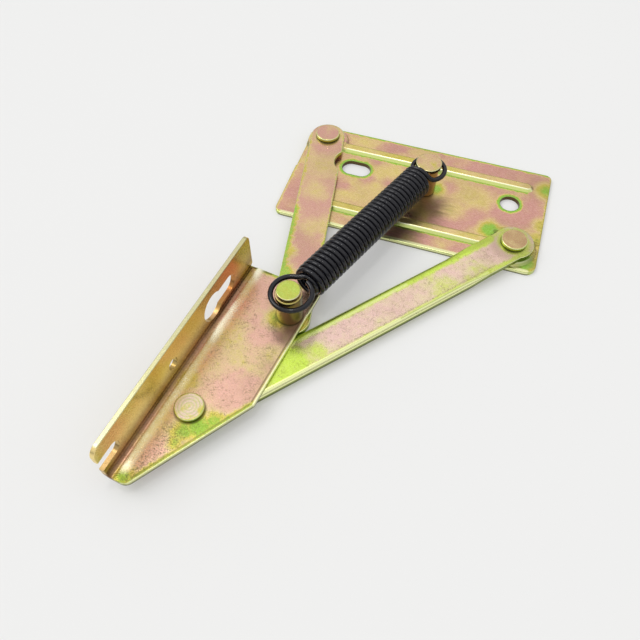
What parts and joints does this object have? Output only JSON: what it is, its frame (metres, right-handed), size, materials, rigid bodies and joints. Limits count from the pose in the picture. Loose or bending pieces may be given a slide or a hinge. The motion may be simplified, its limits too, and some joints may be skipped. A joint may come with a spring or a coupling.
{
  "type": "recliner hinge",
  "caption": "Sprung four-bar seat hinge: flat mounting plate, two riveted links and an angle bracket with slotted flange, held by an extension spring between two posts.",
  "frame": {"origin": "centre of the mounting plate's round hole, on the plate's back face", "axes": "+X along the plate's long edge from the slot towards the round hole, +Y across the plate away from the bracket, +Z out of the plate's face towards the spring posts; rest pose is folded"},
  "size_m": [0.141, 0.2165, 0.029],
  "materials": {
    "plate_zinc": "yellow zinc plate, faint pink and green tint",
    "link_zinc": "yellow zinc plate, green tint at the edges",
    "bracket_zinc": "yellow zinc plate, orange and pink on the flange",
    "rivet_zinc": "yellow-green zinc plate",
    "spring_wire": "black phosphate, satin"
  },
  "bodies": {
    "base": {"base_plate": "plate_zinc", "upper_spring_stud": "rivet_zinc", "short_link_rivet": "rivet_zinc", "long_link_rivet": "rivet_zinc"},
    "short_link": {"short_link": "link_zinc", "lower_spring_pin": "rivet_zinc", "lower_pin_sleeve": "rivet_zinc"},
    "bracket": {"angle_bracket": "bracket_zinc", "bracket_rivet_head": "rivet_zinc"},
    "long_link": {"long_link": "link_zinc", "bracket_rivet_tail": "rivet_zinc"},
    "spring": {"extension_spring": "spring_wire"},
    "spring_foot": {"spring_lower_loop": "spring_wire"}
  },
  "joints": [
    {"name": "short_link_pivot", "type": "hinge", "parent": "base", "child": "short_link", "pos_m": [-0.1005, 0.0152, 0.0048], "axis": [0, 0, -1], "range_deg": [0, 30]},
    {"name": "bracket_pivot", "type": "hinge", "parent": "short_link", "child": "bracket", "pos_m": [-0.0808, -0.10064, 0.0071], "axis": [0, 0, 1], "range_deg": [0, 82]},
    {"name": "long_link_pivot", "type": "hinge", "parent": "base", "child": "long_link", "pos_m": [0.0053, -0.0279, 0.0048], "axis": [0, 0, 1], "range_deg": [-4.4, 0]},
    {"name": "spring_swing", "type": "hinge", "parent": "base", "child": "spring", "pos_m": [-0.043, -0.0036, 0.0172], "axis": [0, 0, 1], "range_deg": [-26, 0]},
    {"name": "spring_stretch", "type": "slide", "parent": "spring", "child": "spring_foot", "axis": [-0.363, -0.9318, 0], "range_m": [0, 0.0302], "deforming": ["extension_spring", "spring_lower_loop"]}
  ],
  "couplings": [
    {"joint": "bracket_pivot", "follows": "short_link_pivot", "ratio": 2.7264},
    {"joint": "long_link_pivot", "follows": "short_link_pivot", "ratio": -0.14406},
    {"joint": "spring_swing", "follows": "short_link_pivot", "ratio": -0.86089},
    {"joint": "spring_stretch", "follows": "short_link_pivot", "m_per_rad": 0.057501}
  ]
}
